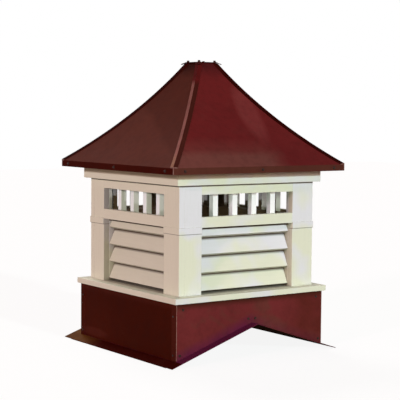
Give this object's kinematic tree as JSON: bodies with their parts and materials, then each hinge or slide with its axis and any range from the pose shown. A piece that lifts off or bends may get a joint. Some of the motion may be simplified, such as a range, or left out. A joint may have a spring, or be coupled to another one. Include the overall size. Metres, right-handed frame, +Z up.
{
  "type": "roof cupola",
  "caption": "Square roof cupola with a notched metal-clad saddle base, fixed louvers, a low barred window band and a flared four-hip metal roof with a flat top plate.",
  "frame": {"origin": "centre of the footprint, at the height of the lowest flange edges", "axes": "+Z up; Y runs along the ridge that the base straddles, so the notched gables face -Y and +Y; the plain base walls face -X and +X"},
  "size_m": [0.7112, 0.7112, 0.9904],
  "materials": {
    "roof_metal": "semi-gloss",
    "base_metal": "semi-gloss",
    "cream_board": "painted satin",
    "base_board": "bare",
    "white_bar": "painted satin"
  },
  "bodies": {
    "root": {"base_gable_back": "base_board", "base_gable_front": "base_board", "base_side_left": "base_board", "base_side_right": "base_board", "base_skirt": "base_metal", "flange_back": "base_metal", "flange_front": "base_metal", "flange_left": "base_metal", "flange_right": "base_metal", "frieze_back": "cream_board", "frieze_front": "cream_board", "frieze_left": "cream_board", "frieze_right": "cream_board", "hip_bl": "roof_metal", "hip_br": "roof_metal", "hip_fl": "roof_metal", "hip_fr": "roof_metal", "louver_back": "cream_board", "louver_front": "cream_board", "louver_left": "cream_board", "louver_right": "cream_board", "post_bl": "cream_board", "post_br": "cream_board", "post_fl": "cream_board", "post_fr": "cream_board", "rails_back": "cream_board", "rails_front": "cream_board", "rails_left": "cream_board", "rails_right": "cream_board", "roof_back": "roof_metal", "roof_front": "roof_metal", "roof_left": "roof_metal", "roof_right": "roof_metal", "sill_back": "cream_board", "sill_front": "cream_board", "sill_left": "cream_board", "sill_right": "cream_board", "soffit": "cream_board", "top_cap": "roof_metal", "window_back": "white_bar", "window_front": "white_bar", "window_left": "white_bar", "window_right": "white_bar"}
  },
  "joints": []
}
